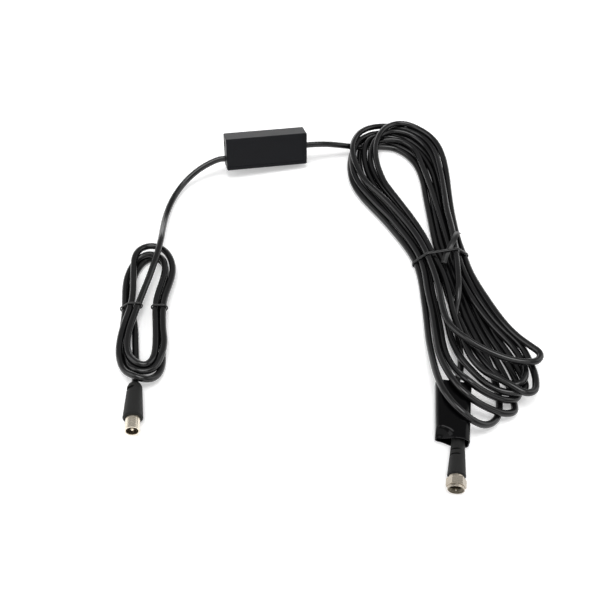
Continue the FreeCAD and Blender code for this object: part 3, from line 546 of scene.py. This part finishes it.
# Thread in the coupling nut, mm from its mouth
thread = {
    "mouth": (123.199, -305.749, 6.601), "from": 0.4, "to": 3.4, "fade": 0.8,
    "pitch": 0.8, "root": 4.7, "rootGap": 0.03, "depth": 0.42,
}


def threadGrid(rows=80, backRows=8, steps=72):
    # r = root - depth * triangle(x / pitch - angle / 2 pi) going in, then back out along the bore
    angle = np.linspace(0, 2 * np.pi, steps, endpoint=False)[None, :]
    x = np.linspace(thread["from"], thread["to"], rows)[:, None]
    phase = np.mod(x / thread["pitch"] - angle / (2 * np.pi), 1)
    ends = smooth((x - thread["from"]) / thread["fade"]) * smooth((thread["to"] - x) / thread["fade"])
    inner = thread["root"] - thread["rootGap"] - thread["depth"] * (1 - np.abs(2 * phase - 1)) * ends
    back = np.linspace(thread["to"], thread["from"], backRows)[:, None]
    radius = np.vstack([inner, np.full((backRows, steps), thread["root"])])
    depth = np.vstack([np.broadcast_to(x, inner.shape), np.broadcast_to(back, (backRows, steps))])
    flat = (np.asarray(thread["mouth"][:2]) - depth[..., None] * sleeveAxis
            + (radius * np.cos(angle))[..., None] * sleeveSide)
    return np.concatenate([flat, (thread["mouth"][2] + radius * np.sin(angle))[..., None]], axis=2)


nutThread = gridPiece("nutThread", [(threadGrid(), True)], threadNickelPaintedShade, "coupling_nut")
print("thread: made")

# Floor, light and camera
studio = {
    "floor": 8.0, "paper": 0.80, "floorWhite": 0.30, "floorShade": 0.90,
    "horizon": 1.0, "middle": 0.35, "overhead": 5.5, "low": (0.25, 0.35), "high": (0.93, 0.98),
}


def makeFloor():
    # white paper: what the eye, metal and gloss see is part glow, part lit paper, so a soft shadow stays
    finish = bpy.data.materials.new("studio paper, matt white")
    finish.use_nodes = True
    tree = finish.node_tree
    tree.nodes.clear()
    rays = addNode(tree, "LightPath")
    some = addNode(tree, "Math", {"operation": "MAXIMUM"},
                   {0: rays.outputs["Is Camera Ray"], 1: rays.outputs["Is Glossy Ray"]})
    seen = addNode(tree, "Math", {"operation": "MAXIMUM"},
                   {0: some.outputs[0], 1: rays.outputs["Is Transmission Ray"]})
    paper = addNode(tree, "BsdfDiffuse", {"Color": (*[studio["paper"]] * 3, 1)})
    shade = addNode(tree, "BsdfDiffuse", {"Color": (*[studio["floorShade"]] * 3, 1)})
    glow = addNode(tree, "Emission", {"Strength": studio["floorWhite"]})
    white = addNode(tree, "AddShader", {}, {0: shade.outputs[0], 1: glow.outputs[0]})
    both = addNode(tree, "MixShader", {}, {0: seen.outputs[0], 1: paper.outputs[0], 2: white.outputs[0]})
    addNode(tree, "OutputMaterial", {}, {"Surface": both.outputs[0]})
    half = studio["floor"] / 2
    mesh = bpy.data.meshes.new("floor")
    corners = [(-half, -half, 0), (half, -half, 0), (half, half, 0), (-half, half, 0)]
    mesh.from_pydata(corners, [], [(0, 1, 2, 3)])
    mesh.materials.append(finish)
    floor = bpy.data.objects.new("floor", mesh)
    bpy.context.scene.collection.objects.link(floor)


def makeWorld():
    # white sweep at the horizon, dim above it, soft box overhead:
    # two steps of strength as the direction rises
    world = bpy.data.worlds.new("studio")
    bpy.context.scene.world = world
    world.use_nodes = True
    tree = world.node_tree
    tree.nodes.clear()
    way = addNode(tree, "TexCoord")
    parts = addNode(tree, "SeparateXYZ", {}, {0: way.outputs["Generated"]})
    sweep = addNode(tree, "MapRange", {"From Min": studio["low"][0], "From Max": studio["low"][1],
                                       "To Min": studio["horizon"], "To Max": studio["middle"]},
                    {"Value": parts.outputs["Z"]})
    softBox = addNode(tree, "MapRange", {"From Min": studio["high"][0], "From Max": studio["high"][1],
                                         "To Min": 0.0, "To Max": studio["overhead"] - studio["middle"]},
                      {"Value": parts.outputs["Z"]})
    level = addNode(tree, "Math", {"operation": "ADD"}, {0: sweep.outputs[0], 1: softBox.outputs[0]})
    sky = addNode(tree, "Background", {"Color": (1, 1, 1, 1)}, {"Strength": level.outputs[0]})
    addNode(tree, "OutputWorld", {}, {"Surface": sky.outputs[0]})


lamps = {
    "left": {"place": (-1.05, -0.25, 0.85), "aim": (0, -0.12, 0), "size": (1.0, 1.0), "watts": 5.0},
    "right": {"place": (1.15, -0.05, 0.80), "aim": (0, -0.12, 0), "size": (1.0, 1.0), "watts": 4.0},
    "front": {"place": (0.1, -1.3, 1.0), "aim": (0, -0.12, 0), "size": (1.2, 0.5), "watts": 2.5},
    "back": {"place": (-0.1, 1.4, 0.35), "aim": (0, 0, 0), "size": (1.6, 0.4), "watts": 4.0},
}


def makeLamp(name, lamp):
    data = bpy.data.lights.new(name, "AREA")
    data.shape = "RECTANGLE"
    data.size, data.size_y = lamp["size"]
    data.energy = lamp["watts"]
    light = bpy.data.objects.new(name, data)
    bpy.context.scene.collection.objects.link(light)
    light.location = lamp["place"]
    back = np.array(lamp["place"]) - np.array(lamp["aim"])
    flat = math.hypot(back[0], back[1])
    light.rotation_euler = (math.atan2(flat, back[2]), 0, math.atan2(back[0], -back[1]))


view = {"place": (0.0287, -0.5428, 0.468), "tilt": 40.0, "lens": 50.1, "sensor": 36.0, "clip": (0.01, 50)}
makeFloor()
makeWorld()
for name, lamp in lamps.items():
    makeLamp(name, lamp)
lens = bpy.data.cameras.new("camera")
lens.lens, lens.sensor_width = view["lens"], view["sensor"]
lens.clip_start, lens.clip_end = view["clip"]
camera = bpy.data.objects.new("camera", lens)
bpy.context.scene.collection.objects.link(camera)
camera.location = view["place"]
camera.rotation_euler = (math.radians(view["tilt"]), 0, 0)
bpy.context.scene.camera = camera
bpy.context.scene.view_settings.view_transform = "Standard"
print("studio: floor, world,", len(lamps), "lamps, camera")

bpy.context.view_layer.update()
